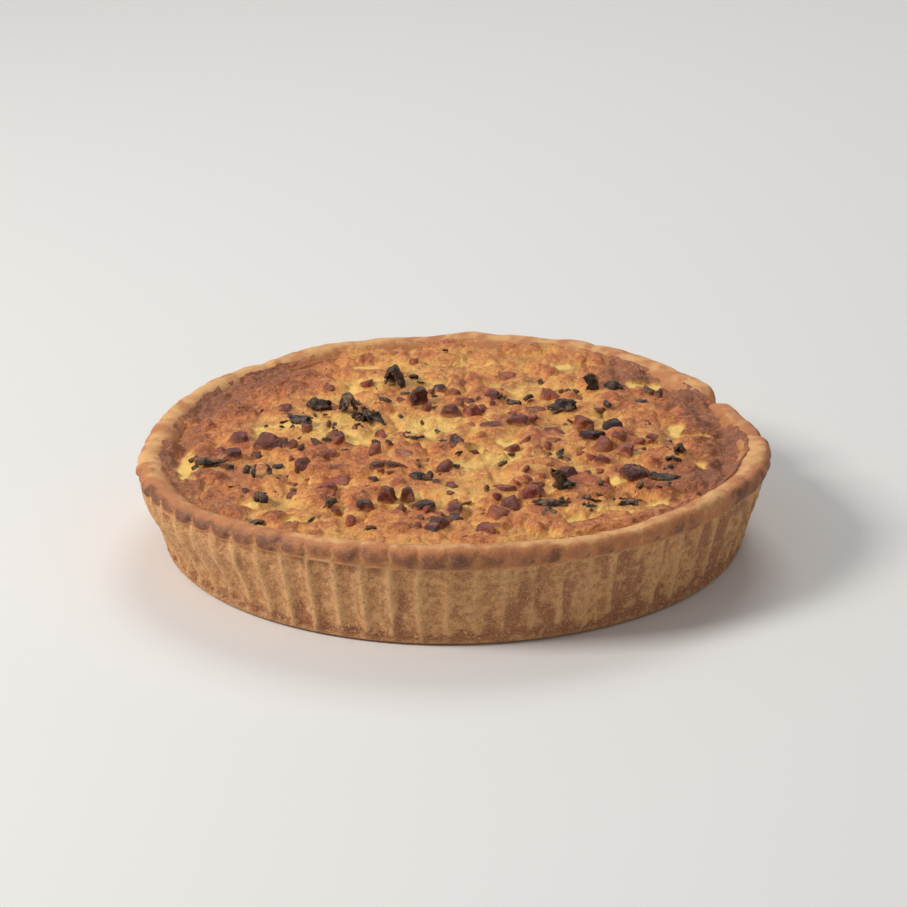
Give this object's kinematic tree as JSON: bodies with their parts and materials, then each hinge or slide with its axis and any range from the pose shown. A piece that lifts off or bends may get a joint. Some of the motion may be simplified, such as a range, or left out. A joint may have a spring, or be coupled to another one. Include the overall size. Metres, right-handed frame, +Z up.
{
  "type": "quiche",
  "caption": "Round quiche with a fluted shortcrust wall and rolled rim, filled with browned custard and strewn with diced bacon and charred leek.",
  "frame": {"origin": "middle of the flat underside, on which the quiche rests", "axes": "+Z up, -Y towards the viewer, +X to the viewer's right"},
  "size_m": [0.26, 0.2601, 0.0505],
  "materials": {
    "pastry": "matte, baked, floury and finely pitted",
    "custard": "satin, browned in patches",
    "bacon": "moist, half glossy",
    "leek": "charred, dull with faint gloss on the ribs"
  },
  "bodies": {
    "root": {"bacon_01": "bacon", "bacon_02": "bacon", "bacon_03": "bacon", "bacon_04": "bacon", "bacon_05": "bacon", "bacon_06": "bacon", "bacon_07": "bacon", "bacon_08": "bacon", "bacon_09": "bacon", "bacon_10": "bacon", "bacon_11": "bacon", "bacon_12": "bacon", "bacon_13": "bacon", "bacon_14": "bacon", "bacon_15": "bacon", "bacon_16": "bacon", "bacon_17": "bacon", "bacon_18": "bacon", "bacon_19": "bacon", "bacon_20": "bacon", "bacon_21": "bacon", "bacon_22": "bacon", "bacon_23": "bacon", "bacon_24": "bacon", "bacon_25": "bacon", "bacon_26": "bacon", "bacon_27": "bacon", "bacon_28": "bacon", "bacon_29": "bacon", "bacon_30": "bacon", "bacon_31": "bacon", "bacon_32": "bacon", "bacon_33": "bacon", "bacon_34": "bacon", "bacon_35": "bacon", "bacon_36": "bacon", "crust": "pastry", "filling": "custard", "leek_blade_10": "leek", "leek_blade_13": "leek", "leek_fold_02": "leek", "leek_fold_05": "leek", "leek_fold_06": "leek", "leek_fold_09": "leek", "leek_fold_18": "leek", "leek_leaf_01": "leek", "leek_leaf_03": "leek", "leek_leaf_08": "leek", "leek_leaf_11": "leek", "leek_leaf_12": "leek", "leek_leaf_14": "leek", "leek_leaf_17": "leek", "leek_roll_04": "leek", "leek_roll_07": "leek", "leek_roll_15": "leek", "leek_roll_16": "leek"}
  },
  "joints": []
}
